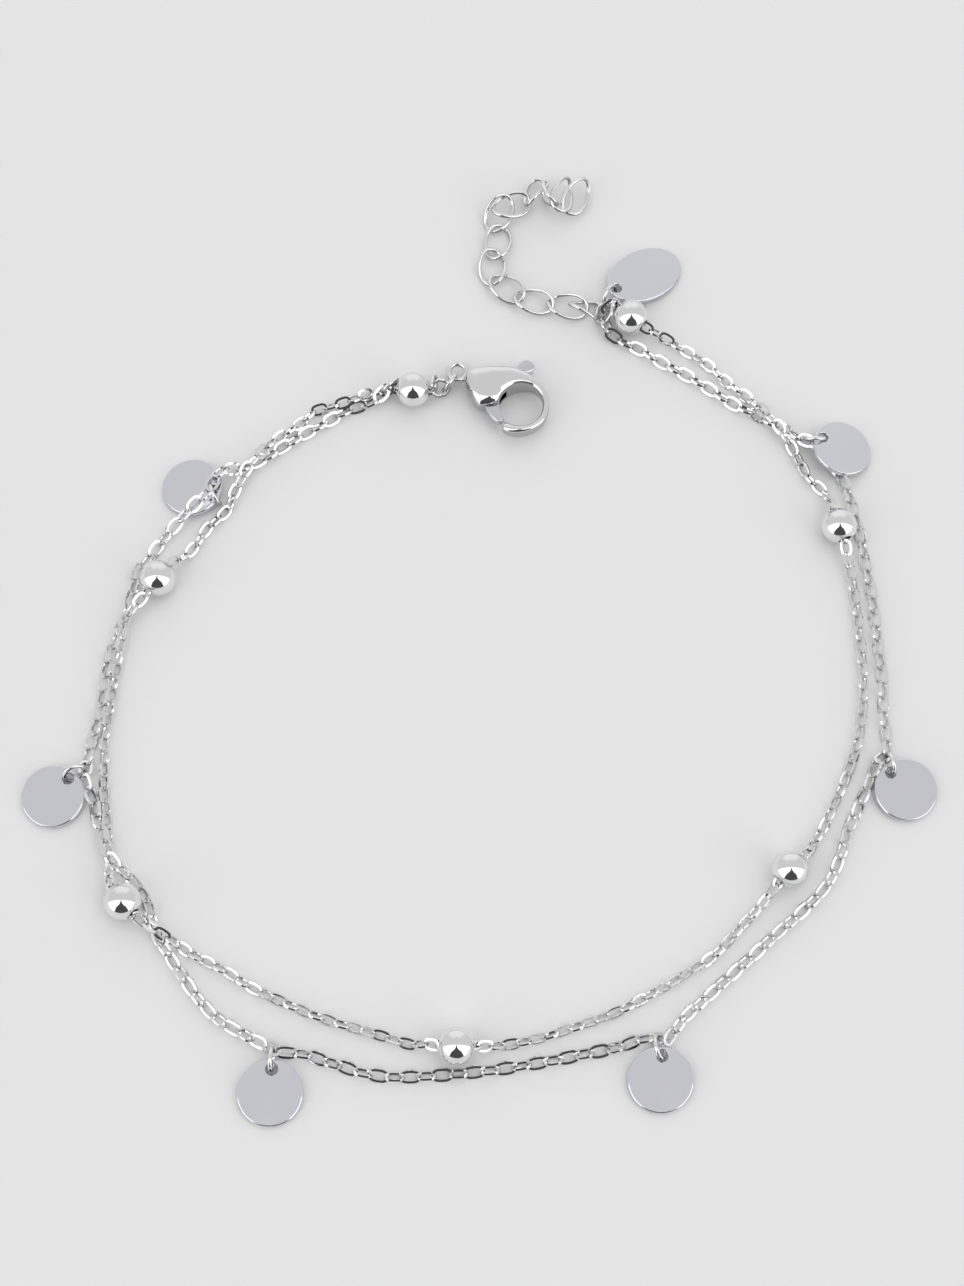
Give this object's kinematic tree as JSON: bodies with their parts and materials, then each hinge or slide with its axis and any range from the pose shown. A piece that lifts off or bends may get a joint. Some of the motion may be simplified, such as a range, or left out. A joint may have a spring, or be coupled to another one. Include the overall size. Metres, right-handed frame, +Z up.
{
  "type": "chain anklet",
  "caption": "Double-strand steel chain anklet lying open, with round beads on one strand, flat disc drops on the other, a sprung lobster clasp and an extender chain of larger links.",
  "frame": {"origin": "on the surface the anklet lies on, under the middle of its bounding box", "axes": "+Z up from the surface, +Y from the foot of the loop towards the clasp and extender, +X to the right of the loop seen from above"},
  "size_m": [0.0867, 0.0979, 0.0037],
  "materials": {
    "chain_steel": "polished stainless steel chain",
    "bead_steel": "mirror polished",
    "plate_steel": "mirror polished flat",
    "wire_steel": "polished round wire",
    "clasp_steel": "polished casting",
    "lever_steel": "satin"
  },
  "bodies": {
    "chain": {"bead_strand": "chain_steel", "disc_strand": "chain_steel", "bead_1": "bead_steel", "bead_2": "bead_steel", "bead_3": "bead_steel", "bead_4": "bead_steel", "bead_5": "bead_steel", "bead_6": "bead_steel", "bead_7": "bead_steel", "disc_1": "plate_steel", "disc_2": "plate_steel", "disc_3": "plate_steel", "disc_4": "plate_steel", "disc_5": "plate_steel", "disc_6": "plate_steel", "disc_ring_1": "wire_steel", "disc_ring_2": "wire_steel", "disc_ring_3": "wire_steel", "disc_ring_4": "wire_steel", "disc_ring_5": "wire_steel", "disc_ring_6": "wire_steel", "end_tag": "plate_steel", "clasp_ring": "wire_steel", "last_ring": "wire_steel", "join_ring": "wire_steel", "end_ring": "wire_steel", "tag_ring": "wire_steel", "extender_link_01": "wire_steel", "extender_link_02": "wire_steel", "extender_link_03": "wire_steel", "extender_link_04": "wire_steel", "extender_link_05": "wire_steel", "extender_link_06": "wire_steel", "extender_link_07": "wire_steel", "extender_link_08": "wire_steel", "extender_link_09": "wire_steel", "extender_link_10": "wire_steel", "extender_link_11": "wire_steel", "extender_link_12": "wire_steel", "clasp_body": "clasp_steel"},
    "lever": {"clasp_lever": "lever_steel"}
  },
  "joints": [
    {"name": "lever_hinge", "type": "hinge", "parent": "chain", "child": "lever", "pos_m": [0.00125, 0.0247, 0.0014], "axis": [0, 0, 1], "range_deg": [0, 25], "stiffness_Nm_per_rad": 0.01}
  ]
}
